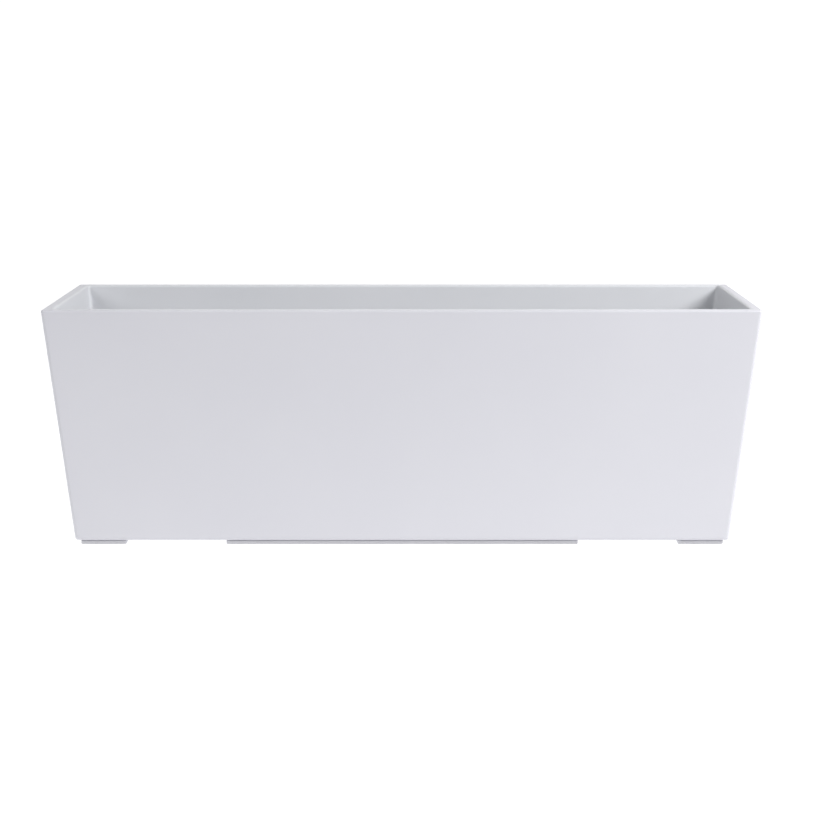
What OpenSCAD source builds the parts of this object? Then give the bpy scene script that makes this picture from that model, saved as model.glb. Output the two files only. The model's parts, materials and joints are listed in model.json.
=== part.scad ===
// Self-watering trough planter: an outer casing that holds the water, a grow liner that lifts
// out of it, wick baskets, an overflow with its drain bung, a fill tube and a float gauge.
// Millimetres. +Z is up, +X runs along the trough, the front faces -Y, and the origin is on the
// ground under the middle of the trough.

/* [Overall] */
// Length over the rim
rim_length = 760; // [620:10:920]
// Width over the rim
rim_width = 254; // [210:2:310]
// Height from the ground to the rim
overall_height = 260; // [215:5:320]
// How far each wall leans in between the rim and the base
wall_lean = 25.5; // [15:0.5:31]
// Width of the whole rim, from the outer face to the face of the planting space
rim_band = 12; // [10:0.5:15]
// Rounding of the rim's edges
rim_edge_radius = 2; // [1:0.1:2.4]

/* [Casing] */
// Thickness of the casing's walls
casing_wall = 4; // [3:0.1:5]
// Thickness of the casing's floor
casing_floor = 4; // [3:0.1:6]
// Radius of the casing's upright corners
corner_radius = 9; // [7:0.5:14]
// Radius where the casing's walls turn into its floor
base_edge_radius = 6; // [3:0.5:6.5]
// Depth of the thick lip round the casing's mouth
lip_depth = 14; // [8:1:24]

/* [Feet] */
// Height of the feet and runners
foot_height = 6; // [5:0.5:10]
// Length of a corner foot along the trough
foot_length = 50; // [35:1:70]
// Depth of a corner foot across the trough
foot_depth = 45; // [30:1:55]
// Length of a middle runner
runner_length = 383; // [250:1:450]
// Depth of a middle runner
runner_depth = 30; // [20:1:45]
// How far the feet stand back from the edge of the base
foot_inset = 5; // [3:0.5:12]
// Radius of the moulded pegs that the feet are pushed onto
peg_radius = 4; // [3:0.1:5]
// Length of those pegs
peg_length = 4; // [3:0.1:4.5]

/* [Liner] */
// Thickness of the liner's walls
liner_wall = 2.5; // [2:0.1:3.5]
// Thickness of the liner's floor
liner_floor = 3; // [2:0.1:5]
// Depth of the reservoir, from the casing's floor to the underside of the liner's floor
reservoir_depth = 60; // [48:1:75]
// Radius of the liner's inside corners
liner_corner_radius = 4; // [3:0.5:8]
// Radius of a leg under the liner
leg_radius = 10; // [7:0.5:13]
// Thickness of a leg's wall
leg_wall = 2; // [1.5:0.1:3]
// Gap between a leg and the long wall of the casing
leg_wall_gap = 20; // [10:1:24]

/* [Wick baskets] */
// Radius of a basket where it passes through the liner's floor
basket_radius = 30; // [24:0.5:37]
// Radius of a basket at its foot
basket_foot_radius = 24; // [18:0.5:24]
// Thickness of a basket's wall
basket_wall = 2; // [1.5:0.1:3]
// Width of the collar that a basket hangs by
basket_collar = 5; // [4:0.5:8]
// Width of a water slot in a basket
basket_slot_width = 4; // [3:0.1:5]
// Height of a water slot in a basket
basket_slot_height = 34; // [20:1:38]

/* [Overflow and drain] */
// Water level at which the overflow runs, above the casing's floor
overflow_level = 52; // [40:1:54]
// Inside radius of the overflow pipe and of the drain
drain_radius = 8; // [6.5:0.1:10]
// Thickness of the overflow pipe's wall
pipe_wall = 2; // [1.5:0.1:2.5]
// Length of the bung's shank
bung_shank = 14; // [10:0.5:18]
// Radius of the bung's head
bung_head_radius = 13; // [12:0.5:18]

/* [Fill tube] */
// Outside radius of the fill tube
fill_radius = 17; // [14:0.5:20]
// Thickness of the fill tube's wall
fill_wall = 2; // [1.5:0.1:3]
// Radius of the tube's widened mouth
mouth_radius = 21; // [20.5:0.5:25]
// Depth of the lid's top below the rim
lid_drop = 31; // [28:1:45]
// Radius of the lid's hinge pin
lid_pin_radius = 1.5; // [1.2:0.1:1.8]

/* [Float gauge] */
// Outside radius of the gauge tube
gauge_radius = 13; // [12.5:0.5:15.5]
// Thickness of the gauge tube's wall
gauge_wall = 1.5; // [1.2:0.1:2]
// Travel of the float between an empty and a full reservoir
float_travel = 36; // [30:1:40]
// Height of the float
float_height = 30; // [22:1:34]
// Radius of the float's stem
stem_radius = 1.5; // [1:0.1:2]
// Height of the coloured marker on top of the stem
marker_height = 8; // [6:0.5:10]

/* [Handles] */
// Distance from a handle's pivot to the middle of its grip
handle_reach = 70; // [60:1:84]
// Radius of the grip
grip_radius = 6; // [5:0.5:7]
// Width of a handle's arm
arm_width = 8; // [6:0.5:10]
// Depth of the pivot below the rim
pivot_drop = 30; // [26:1:40]
// Radius of the pins moulded on a handle
trunnion_radius = 3; // [2.4:0.1:3.6]
// Thickness of the liner's ears that hold those pins
ear_thickness = 5; // [4:0.5:7]

/* [Hidden] */
$fn = 64;

// Clearances: a fixed seat, a turning or sliding fit, and the gap between casing and liner
seat_clearance = 0.1;
running_clearance = 0.05;
rim_gap = 0.4;
overcut = 1;

// Heights, from the ground up
body_height = overall_height - foot_height;
floor_top = foot_height + casing_floor;
liner_floor_z = floor_top + reservoir_depth;
liner_floor_top = liner_floor_z + liner_floor;
lean_angle = atan(wall_lean / body_height);
corner_steps = 8;
edge_steps = 5;

// Inward lean of the walls at a height, and the half length and half width of a shell there
function lean(z) = wall_lean * (overall_height - z) / body_height;
function half_length(z, inset) = rim_length / 2 - lean(z) - inset;
function half_width(z, inset) = rim_width / 2 - lean(z) - inset;

// The rounded rectangle of a shell at one height, anticlockwise from above
function outline(z, inset, radius) = [
    for (quarter = [0:3], k = [0:corner_steps])
        let (
            angle = 90 * (quarter + k / corner_steps),
            side_x = quarter == 0 || quarter == 3 ? 1 : -1,
            side_y = quarter < 2 ? 1 : -1
        )
        [
            side_x * (half_length(z, inset) - radius) + radius * cos(angle),
            side_y * (half_width(z, inset) - radius) + radius * sin(angle),
            z
        ]
];

// A leaning tub with rounded corners, through levels of [height, inset, corner radius] that go
// up the outside and down the inside. The first level is its underside, the last its floor.
module leaning_tub(levels) {
    count = 4 * (corner_steps + 1);
    top = len(levels) - 1;
    polyhedron(
        points = [for (level = levels) each outline(level[0], level[1], level[2])],
        faces = concat(
            [[for (i = [0:count - 1]) i]],
            [[for (i = [count - 1:-1:0]) top * count + i]],
            [
                for (ring = [0:top - 1], i = [0:count - 1])
                    let (next = (i + 1) % count)
                    [
                        ring * count + i, (ring + 1) * count + i,
                        (ring + 1) * count + next, ring * count + next
                    ]
            ]
        ),
        convexity = 4
    );
}

// Levels that round a wall's outer edge up to the rim, and its inner edge down from it
function rounded_outside(inset, radius, edge) = [
    for (k = [0:edge_steps])
        let (angle = 90 * k / edge_steps, tuck = edge * (1 - cos(angle)))
        [overall_height - edge * (1 - sin(angle)), inset + tuck, radius - tuck]
];
function rounded_inside(inset, radius, edge) = [
    for (k = [edge_steps:-1:0])
        let (angle = 90 * k / edge_steps, tuck = edge * (1 - cos(angle)))
        [overall_height - edge * (1 - sin(angle)), inset - tuck, radius + tuck]
];

module tube(outer, inner, low, high) {
    translate([0, 0, low]) difference() {
        cylinder(r = outer, h = high - low);
        translate([0, 0, -overcut]) cylinder(r = inner, h = high - low + 2 * overcut);
    }
}

// A cylinder along Y, centred on the origin
module cross_cylinder(radius, length) {
    rotate([90, 0, 0]) cylinder(r = radius, h = length, center = true);
}

/* Casing */

casing_inner_radius = max(corner_radius - casing_wall, 2);
lip_inset = rim_band - liner_wall - rim_gap;
lip_corner_radius = liner_corner_radius + liner_wall + rim_gap;
lip_z = overall_height - lip_depth;
lip_taper = 2.5 * (lip_inset - casing_wall);
casing_base = [
    for (k = [0:edge_steps])
        let (angle = 90 * k / edge_steps, tuck = base_edge_radius * (1 - sin(angle)))
        [foot_height + base_edge_radius * (1 - cos(angle)), tuck, corner_radius - tuck]
];
foot_corner_radius = 4;
foot_x = half_length(foot_height, foot_inset) - foot_length / 2;
foot_y = half_width(foot_height, foot_inset) - foot_depth / 2;
runner_y = half_width(foot_height, foot_inset) - runner_depth / 2;
foot_pegs = [for (side = [-1, 1]) side * foot_length / 4];
runner_pegs = [for (k = [-1.5:1:1.5]) k * runner_length / 4];
foot_places = [[-1, -1], [1, -1], [-1, 1], [1, 1]];

// The boss that the overflow pipe stands in
boss_wall = 4;
boss_rise = 16;
shoulder_thickness = 2;
pipe_radius = drain_radius + pipe_wall;
pipe_seat_z = floor_top + shoulder_thickness;

module pegs(places) {
    for (x = places)
        translate([x, 0, foot_height - peg_length]) cylinder(r = peg_radius, h = peg_length);
}

module outer_casing() {
    color("#dcdce1") {
        difference() {
            union() {
                leaning_tub(concat(
                    casing_base,
                    rounded_outside(0, corner_radius, rim_edge_radius),
                    [
                        [overall_height, lip_inset, lip_corner_radius],
                        [lip_z, lip_inset, lip_corner_radius],
                        [lip_z - lip_taper, casing_wall, casing_inner_radius],
                        [floor_top, casing_wall, casing_inner_radius]
                    ]
                ));
                translate([0, 0, floor_top - overcut])
                    cylinder(r = pipe_radius + boss_wall, h = boss_rise + overcut);
            }
            translate([0, 0, foot_height - overcut])
                cylinder(r = drain_radius, h = casing_floor + boss_rise);
            translate([0, 0, pipe_seat_z])
                cylinder(r = pipe_radius + seat_clearance, h = boss_rise + overcut);
        }
        for (place = foot_places)
            translate([place[0] * foot_x, place[1] * foot_y, 0]) pegs(foot_pegs);
        for (side = [-1, 1])
            translate([0, side * runner_y, 0]) pegs(runner_pegs);
    }
}

// A pad with rounded corners, blind sockets for the casing's pegs and its centre at the origin
module pad(length, depth, places) {
    color("#cfcfd4") difference() {
        linear_extrude(height = foot_height) union() {
            square([length - 2 * foot_corner_radius, depth], center = true);
            square([length, depth - 2 * foot_corner_radius], center = true);
            for (side_x = [-1, 1], side_y = [-1, 1])
                translate([
                    side_x * (length / 2 - foot_corner_radius),
                    side_y * (depth / 2 - foot_corner_radius)
                ])
                    circle(r = foot_corner_radius);
        }
        for (x = places)
            translate([x, 0, foot_height - peg_length - 2 * seat_clearance])
                cylinder(r = peg_radius + seat_clearance, h = peg_length + overcut);
    }
}

module corner_foot(place) {
    translate([place[0] * foot_x, place[1] * foot_y, 0]) pad(foot_length, foot_depth, foot_pegs);
}

module runner(side) {
    translate([0, side * runner_y, 0]) pad(runner_length, runner_depth, runner_pegs);
}

/* Overflow and drain */

pipe_top = floor_top + overflow_level;
notch_width = 4;
notch_depth = 5;
bung_clearance = 0.3;
bung_head_thickness = 2.5;
bung_rib_height = 2;
bung_rib_width = 3;
seal_section = 1.2;
seal_ring_radius = drain_radius - running_clearance - seal_section;
seal_z = foot_height + 3;

// Notches cut across the end of a tube so that water passes a blocked mouth
module end_notches(radius, z) {
    for (angle = [45, 135])
        translate([0, 0, z]) rotate([0, 0, angle])
            cube([2 * radius + 2, notch_width, 2 * notch_depth], center = true);
}

module ring(ring_radius, section) {
    rotate_extrude() translate([ring_radius, 0]) circle(r = section);
}

module overflow_pipe() {
    color("#b9bcc2") difference() {
        tube(pipe_radius, drain_radius, pipe_seat_z, pipe_top);
        end_notches(pipe_radius, pipe_top);
    }
}

module drain_bung() {
    shank_radius = drain_radius - bung_clearance;
    color("#5a5d63") {
        difference() {
            translate([0, 0, foot_height - bung_head_thickness])
                cylinder(r = shank_radius, h = bung_shank + bung_head_thickness);
            translate([0, 0, seal_z]) ring(seal_ring_radius, seal_section + running_clearance);
            translate([0, 0, seal_z + 2 * seal_section])
                cylinder(r = shank_radius - 2.5, h = bung_shank);
        }
        translate([0, 0, foot_height - bung_head_thickness])
            cylinder(r = bung_head_radius, h = bung_head_thickness);
        translate([0, 0, foot_height - bung_head_thickness - bung_rib_height / 2])
            cube(
                [2 * bung_head_radius - 4, bung_rib_width, bung_rib_height],
                center = true
            );
    }
}

module bung_seal() {
    color("#202124") translate([0, 0, seal_z]) ring(seal_ring_radius, seal_section);
}

/* Liner */

liner_outer_inset = rim_band - liner_wall;
liner_outer_radius = liner_corner_radius + liner_wall;

basket_count = 4;
basket_pitch = 2 * half_length(liner_floor_top, rim_band) / basket_count;
leg_x = [-basket_pitch, 0, basket_pitch];
leg_y = half_width(floor_top, casing_wall) - leg_radius - leg_wall_gap;
floor_slot_length = basket_pitch * 0.3;
floor_slot_width = 4;
floor_slot_y = [-30, -10, 10, 30];

// The two upright tubes stand in the rear corners, clear of the walls at the liner's floor
tube_wall_gap = 1;
tube_collar = 3;
fill_collar_radius = fill_radius + tube_collar;
tube_x = half_length(liner_floor_top, rim_band) - fill_collar_radius - tube_wall_gap;
tube_y = half_width(liner_floor_top, rim_band) - fill_collar_radius - tube_wall_gap;

// Clips on the rear wall that steady the tubes
clip_height = 10;
clip_z = overall_height - lid_drop - 60;
clip_wall = 2.2;
clip_opening_share = 0.7;

// Pivots of the handles: the grip lies against the end wall when a handle hangs
handle_gap = 0.4;
pivot_z = overall_height - pivot_drop;
pivot_x = half_length(pivot_z, rim_band) - (grip_radius + handle_gap) / cos(lean_angle);
ear_face_y = tube_y - mouth_radius - 3;
ear_y = ear_face_y - ear_thickness / 2;
ear_radius = grip_radius + 1;

module floor_slots() {
    for (x = leg_x, y = floor_slot_y)
        translate([x, y, liner_floor_z])
            cube([floor_slot_length, floor_slot_width, 3 * liner_floor], center = true);
}

// One ear, in the plane across the hinge, running back into the end wall
module handle_ear(side) {
    translate([pivot_x, side * ear_y, pivot_z]) {
        cross_cylinder(ear_radius, ear_thickness);
        translate([0, -ear_thickness / 2, -ear_radius])
            cube([
                half_length(pivot_z - ear_radius, rim_band) + liner_wall / 2 - pivot_x,
                ear_thickness,
                2 * ear_radius
            ]);
    }
}

module handle_ears() {
    difference() {
        for (side = [-1, 1]) handle_ear(side);
        translate([pivot_x, 0, pivot_z])
            cross_cylinder(trunnion_radius + running_clearance, 2 * ear_face_y + overcut);
    }
}

// An open ring with a web back into the rear wall
module tube_clip(radius) {
    outer = radius + seat_clearance + clip_wall;
    translate([0, tube_y, clip_z]) difference() {
        union() {
            cylinder(r = outer, h = clip_height);
            translate([-outer / 2, 0, 0])
                cube([
                    outer,
                    half_width(clip_z, rim_band) + liner_wall / 2 - tube_y,
                    clip_height
                ]);
        }
        translate([0, 0, -overcut])
            cylinder(r = radius + seat_clearance, h = clip_height + 2 * overcut);
        translate([
            -outer * clip_opening_share, -outer - radius / 2, -overcut
        ])
            cube([2 * outer * clip_opening_share, outer, clip_height + 2 * overcut]);
    }
}

module grow_liner() {
    color("#dcdce1") {
        difference() {
            leaning_tub(concat(
                [
                    [liner_floor_z, liner_outer_inset, liner_outer_radius],
                    [overall_height, liner_outer_inset, liner_outer_radius]
                ],
                rounded_inside(rim_band, liner_corner_radius, rim_edge_radius),
                [[liner_floor_top, rim_band, liner_corner_radius]]
            ));
            for (i = [0:basket_count - 1])
                translate([basket_x(i), 0, liner_floor_z - overcut])
                    cylinder(r = basket_radius + seat_clearance, h = liner_floor + 2 * overcut);
            translate([tube_x, tube_y, liner_floor_z - overcut])
                cylinder(r = fill_radius + seat_clearance, h = liner_floor + 2 * overcut);
            translate([-tube_x, tube_y, liner_floor_z - overcut])
                cylinder(r = gauge_radius + seat_clearance, h = liner_floor + 2 * overcut);
            floor_slots();
        }
        for (x = leg_x, side = [-1, 1])
            translate([x, side * leg_y, 0])
                tube(leg_radius, leg_radius - leg_wall, floor_top, liner_floor_z);
        handle_ears();
        mirror([1, 0, 0]) handle_ears();
        translate([tube_x, 0, 0]) tube_clip(fill_radius);
        translate([-tube_x, 0, 0]) tube_clip(gauge_radius);
    }
}

/* Wick baskets */

basket_collar_thickness = 2;
basket_floor_gap = 2;
basket_foot_z = floor_top + basket_floor_gap;
basket_slots = 10;
basket_foot_hole = 6;

function basket_x(i) = (i + 0.5 - basket_count / 2) * basket_pitch;

module wick_basket(i) {
    basket_top = liner_floor_top + basket_collar_thickness;
    slot_z = (basket_foot_z + liner_floor_z) / 2;
    color("#8b8f96") translate([basket_x(i), 0, 0]) difference() {
        rotate_extrude() polygon([
            [0, basket_foot_z],
            [basket_foot_radius, basket_foot_z],
            [basket_radius, liner_floor_z],
            [basket_radius, liner_floor_top],
            [basket_radius + basket_collar, liner_floor_top],
            [basket_radius + basket_collar, basket_top],
            [basket_radius - basket_wall, basket_top],
            [basket_radius - basket_wall, liner_floor_z],
            [basket_foot_radius - basket_wall, basket_foot_z + basket_wall],
            [0, basket_foot_z + basket_wall]
        ]);
        for (k = [0:basket_slots / 2 - 1])
            translate([0, 0, slot_z]) rotate([0, 0, 360 * k / basket_slots])
                cube([3 * basket_radius, basket_slot_width, basket_slot_height], center = true);
        for (k = [0:4])
            rotate([0, 0, 72 * k]) translate([basket_foot_radius / 2, 0, basket_foot_z])
                cylinder(r = basket_foot_hole / 2, h = 3 * basket_wall, center = true);
    }
}

/* Fill tube */

lid_thickness = 3;
lid_top = overall_height - lid_drop;
mouth_z = lid_top - lid_thickness;
mouth_height = 10;
mouth_flare = 8;
tube_foot_z = floor_top + 4;
collar_thickness = 3;
hinge_x = mouth_radius + 4;
knuckle_radius = lid_pin_radius + 2;
hinge_z = mouth_z + lid_pin_radius;
knuckle_width = 8;
hinge_ear_width = 4;
hinge_side_gap = 0.3;
ear_drop = 4;
tab_length = 7;
tab_width = 14;

module fill_tube() {
    ear_middle = knuckle_width / 2 + hinge_side_gap + hinge_ear_width / 2;
    color("#b9bcc2") translate([tube_x, tube_y, 0]) difference() {
        union() {
            translate([0, 0, tube_foot_z]) cylinder(r = fill_radius, h = mouth_z - tube_foot_z);
            translate([0, 0, liner_floor_top])
                cylinder(r = fill_collar_radius, h = collar_thickness);
            translate([0, 0, mouth_z - mouth_height]) cylinder(r = mouth_radius, h = mouth_height);
            translate([0, 0, mouth_z - mouth_height - mouth_flare])
                cylinder(r1 = fill_radius, r2 = mouth_radius, h = mouth_flare);
            for (side = [-1, 1])
                translate([hinge_x, side * ear_middle, hinge_z]) {
                    cross_cylinder(knuckle_radius, hinge_ear_width);
                    translate([
                        mouth_radius - 2 - hinge_x, -hinge_ear_width / 2, mouth_z - hinge_z - ear_drop
                    ])
                        cube([hinge_x - mouth_radius + 2, hinge_ear_width, ear_drop]);
                }
        }
        translate([0, 0, tube_foot_z - overcut])
            cylinder(r = fill_radius - fill_wall, h = mouth_z - tube_foot_z + 2 * overcut);
        translate([0, 0, mouth_z - mouth_height])
            cylinder(
                r1 = fill_radius - fill_wall, r2 = mouth_radius - fill_wall,
                h = mouth_height + 0.01
            );
        translate([hinge_x, 0, hinge_z])
            cross_cylinder(lid_pin_radius + running_clearance, 4 * ear_middle);
        end_notches(fill_radius, tube_foot_z);
    }
}

module lid_hinge_pin() {
    pin_length = knuckle_width + 2 * (hinge_side_gap + hinge_ear_width);
    color("#c8cacd") translate([tube_x + hinge_x, tube_y, hinge_z])
        cross_cylinder(lid_pin_radius, pin_length);
}

module fill_lid() {
    plug_radius = fill_radius - fill_wall - 1;
    plug_depth = 3;
    knuckle_gap = knuckle_radius + hinge_side_gap;
    color("#8b8f96") translate([tube_x, tube_y, 0]) difference() {
        union() {
            difference() {
                union() {
                    translate([0, 0, mouth_z]) cylinder(r = mouth_radius, h = lid_thickness);
                    translate([-mouth_radius - tab_length, -tab_width / 2, mouth_z])
                        cube([mouth_radius, tab_width, lid_thickness]);
                }
                translate([hinge_x - knuckle_gap, -mouth_radius, mouth_z - overcut])
                    cube([mouth_radius, 2 * mouth_radius, lid_thickness + 2 * overcut]);
            }
            translate([0, 0, mouth_z - plug_depth]) cylinder(r = plug_radius, h = plug_depth);
            translate([mouth_radius - 5, -knuckle_width / 2, mouth_z])
                cube([hinge_x - mouth_radius + 5, knuckle_width, lid_thickness]);
            translate([hinge_x, 0, hinge_z]) cross_cylinder(knuckle_radius, knuckle_width);
        }
        translate([hinge_x, 0, hinge_z])
            cross_cylinder(lid_pin_radius + running_clearance, 2 * knuckle_width);
        translate([0, 0, mouth_z - plug_depth - overcut])
            cylinder(r = plug_radius - 2, h = plug_depth + overcut);
    }
}

/* Float gauge */

gauge_bore = gauge_radius - gauge_wall;
end_plate = 2;
end_spigot = 4;
guide_thickness = 3;
cap_flange = 2;
cap_spigot = 4;
cap_radius = gauge_radius - 2;
cap_wall = 1.5;
cap_top = lid_top - 1;
cap_head_room = 2;
float_clearance = 1;
float_seat_z = tube_foot_z + end_spigot;
float_top = float_seat_z + float_height;
marker_top = cap_top - cap_wall - cap_head_room - float_travel;
marker_radius = 5;
guide_z = marker_top - marker_height - 1 - guide_thickness;
gauge_top = guide_z + guide_thickness + cap_spigot;
stem_foot_z = float_seat_z + float_height / 3;
water_slot_height = 26;

module at_gauge() {
    translate([-tube_x, tube_y, 0]) children();
}

module gauge_tube() {
    color("#b9bcc2") at_gauge() difference() {
        union() {
            tube(gauge_radius, gauge_bore, tube_foot_z, gauge_top);
            tube(
                gauge_radius + tube_collar, gauge_bore,
                liner_floor_top, liner_floor_top + collar_thickness
            );
        }
        for (angle = [0, 90])
            rotate([0, 0, angle])
                translate([0, 0, tube_foot_z + end_spigot + 4 + water_slot_height / 2])
                cube([2 * gauge_radius + 2, notch_width, water_slot_height], center = true);
    }
}

module gauge_end_plug() {
    color("#8b8f96") at_gauge() difference() {
        union() {
            translate([0, 0, tube_foot_z - end_plate]) cylinder(r = gauge_radius, h = end_plate);
            translate([0, 0, tube_foot_z])
                cylinder(r = gauge_bore - seat_clearance, h = end_spigot);
        }
        for (k = [0:3])
            rotate([0, 0, 90 * k]) translate([gauge_bore / 2, 0, tube_foot_z])
                cylinder(r = notch_width / 2, h = 4 * end_spigot, center = true);
    }
}

module stem_guide() {
    color("#8b8f96") at_gauge() difference() {
        translate([0, 0, guide_z])
            cylinder(r = gauge_bore - seat_clearance, h = guide_thickness);
        translate([0, 0, guide_z - overcut])
            cylinder(r = stem_radius + 0.3, h = guide_thickness + 2 * overcut);
        for (angle = [0, 90])
            rotate([0, 0, angle]) for (side = [-1, 1])
                translate([side * gauge_bore * 0.6, 0, guide_z + guide_thickness / 2])
                    cylinder(r = 2, h = 2 * guide_thickness, center = true);
    }
}

module sight_cap() {
    bore = cap_radius - cap_wall;
    dome_z = cap_top - cap_radius;
    color("#e8eef2", 0.4) at_gauge() difference() {
        union() {
            translate([0, 0, gauge_top - cap_spigot + seat_clearance])
                cylinder(r = gauge_bore - seat_clearance, h = cap_spigot);
            translate([0, 0, gauge_top]) cylinder(r = gauge_radius, h = cap_flange);
            translate([0, 0, gauge_top]) cylinder(r = cap_radius, h = dome_z - gauge_top);
            translate([0, 0, dome_z]) sphere(r = cap_radius);
        }
        translate([0, 0, gauge_top - cap_spigot - overcut])
            cylinder(r = bore, h = dome_z - gauge_top + cap_spigot + overcut);
        translate([0, 0, dome_z]) sphere(r = bore);
    }
}

module gauge_float() {
    color("#f2f2ee") at_gauge() difference() {
        translate([0, 0, float_seat_z])
            cylinder(r = gauge_bore - float_clearance, h = float_height);
        translate([0, 0, stem_foot_z])
            cylinder(r = stem_radius + running_clearance, h = float_height);
    }
}

module float_stem() {
    color("#eeeeea") at_gauge()
        translate([0, 0, stem_foot_z])
        cylinder(r = stem_radius, h = marker_top - marker_height / 2 - stem_foot_z);
}

module gauge_marker() {
    color("#c8281e") at_gauge() difference() {
        union() {
            translate([0, 0, marker_top - marker_height])
                cylinder(r = marker_radius, h = marker_height - marker_radius / 2);
            translate([0, 0, marker_top - marker_radius / 2])
                cylinder(r1 = marker_radius, r2 = marker_radius / 2, h = marker_radius / 2);
        }
        translate([0, 0, marker_top - marker_height - overcut])
            cylinder(r = stem_radius + running_clearance, h = marker_height / 2 + overcut);
    }
}

/* Handles */

arm_thickness = 2 * (grip_radius - 1);
arm_side_gap = 0.4;
arm_y = ear_y - ear_thickness / 2 - arm_side_gap - arm_width / 2;

// A U-shaped bail that hangs down the end wall from its two pins
module right_bail() {
    color("#dcdce1") translate([pivot_x, 0, pivot_z]) rotate([0, lean_angle, 0]) {
        for (side = [-1, 1]) {
            translate([0, side * arm_y, 0]) cross_cylinder(arm_thickness / 2, arm_width);
            translate([0, side * arm_y, -handle_reach / 2])
                cube([arm_thickness, arm_width, handle_reach], center = true);
            translate([0, side * (arm_y + (arm_width + ear_thickness) / 2), 0])
                cross_cylinder(trunnion_radius, ear_thickness + 2 * arm_side_gap);
        }
        translate([0, 0, -handle_reach]) cross_cylinder(grip_radius, 2 * arm_y + arm_width);
    }
}

module left_handle() {
    mirror([1, 0, 0]) right_bail();
}

module right_handle() {
    right_bail();
}

outer_casing();
corner_foot(foot_places[0]);  // front_left_foot
corner_foot(foot_places[1]);  // front_right_foot
corner_foot(foot_places[2]);  // rear_left_foot
corner_foot(foot_places[3]);  // rear_right_foot
runner(-1);  // front_runner
runner(1);  // rear_runner
overflow_pipe();
drain_bung();
bung_seal();
grow_liner();
wick_basket(0);  // wick_basket_1
wick_basket(1);  // wick_basket_2
wick_basket(2);  // wick_basket_3
wick_basket(3);  // wick_basket_4
fill_tube();
fill_lid();
lid_hinge_pin();
gauge_tube();
gauge_end_plug();
stem_guide();
sight_cap();
gauge_float();
float_stem();
gauge_marker();
left_handle();
right_handle();
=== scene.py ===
"""The looks of a self-watering trough planter, built round its fixed frame. Metres, +Z up."""
import json
import math

import bmesh
import bpy
from mathutils import Matrix, Vector


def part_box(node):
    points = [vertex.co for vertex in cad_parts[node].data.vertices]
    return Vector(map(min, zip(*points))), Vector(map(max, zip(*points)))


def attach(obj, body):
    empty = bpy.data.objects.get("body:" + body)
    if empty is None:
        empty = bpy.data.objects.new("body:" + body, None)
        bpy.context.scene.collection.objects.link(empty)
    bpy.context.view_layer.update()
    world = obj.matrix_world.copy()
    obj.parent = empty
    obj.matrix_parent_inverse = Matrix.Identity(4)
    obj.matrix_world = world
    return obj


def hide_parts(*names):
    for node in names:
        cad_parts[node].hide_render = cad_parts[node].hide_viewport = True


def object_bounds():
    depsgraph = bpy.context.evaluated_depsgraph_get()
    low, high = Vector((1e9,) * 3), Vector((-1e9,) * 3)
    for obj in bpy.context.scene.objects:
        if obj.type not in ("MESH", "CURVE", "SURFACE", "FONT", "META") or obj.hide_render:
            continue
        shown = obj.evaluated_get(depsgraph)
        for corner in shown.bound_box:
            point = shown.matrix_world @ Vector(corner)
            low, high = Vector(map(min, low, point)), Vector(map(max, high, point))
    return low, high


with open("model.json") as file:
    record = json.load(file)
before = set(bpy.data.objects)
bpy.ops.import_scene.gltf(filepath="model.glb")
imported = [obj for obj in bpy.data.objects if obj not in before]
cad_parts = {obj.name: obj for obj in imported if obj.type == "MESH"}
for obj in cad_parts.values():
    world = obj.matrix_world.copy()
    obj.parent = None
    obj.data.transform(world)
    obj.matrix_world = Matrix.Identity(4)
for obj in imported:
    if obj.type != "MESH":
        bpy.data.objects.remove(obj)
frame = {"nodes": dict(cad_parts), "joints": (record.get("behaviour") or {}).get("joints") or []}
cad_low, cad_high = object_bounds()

# ---------------------------------------------------------------------------------------------
# The camera stands a little over two metres in front of the trough, slightly right of its
# middle and above its rim, on a long lens, and looks down by about ten degrees.
# ---------------------------------------------------------------------------------------------
def put_in(name, data):
    """Puts a camera, a light or a mesh in the scene."""
    thing = bpy.data.objects.new(name, data)
    bpy.context.collection.objects.link(thing)
    return thing


camera_data = bpy.data.cameras.new("camera")
camera_data.sensor_width = 36
camera_data.lens = 88
camera = put_in("camera", camera_data)
camera.location = (0.0129, -2.240, 0.516)
camera.rotation_euler = (math.radians(90 - 9.84), 0, 0)
bpy.context.scene.camera = camera

# ---------------------------------------------------------------------------------------------
# The casing is one moulding in off-white polypropylene: four leaning walls with soft upright
# corners, a thick lip rolled over at the mouth, a rounded base edge, and a boss in the floor
# that holds the overflow pipe over the drain.
# ---------------------------------------------------------------------------------------------
rim_edge = 0.0022
rim_top = cad_high.z
ground = cad_low.z
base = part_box("front_left_foot")[1][2]
lean_in = 0.0255
half_length = 0.380
half_width = 0.127
casing_wall = 0.004
casing_floor = base + 0.004
base_edge = 0.0025
corner_radius = 0.0040
lip_inset = 0.0092
lip_depth = 0.014
corner_steps = 10
wall_draw_in = 0.0008
draw_in_reach = 0.055


def lean(z):
    """How far the walls have come in at a height."""
    return lean_in * (rim_top - z) / (rim_top - base)


def side_stops(half):
    """Places of the points along a straight side, close together next to its corners."""
    near = (0.0015, 0.008, 0.016, 0.026, 0.040, 0.060)
    rest = [half * k / 6 for k in range(-5, 6) if abs(half * k / 6) < half - 0.075]
    return [-half + d for d in near] + rest + [half - d for d in reversed(near)]


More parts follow.
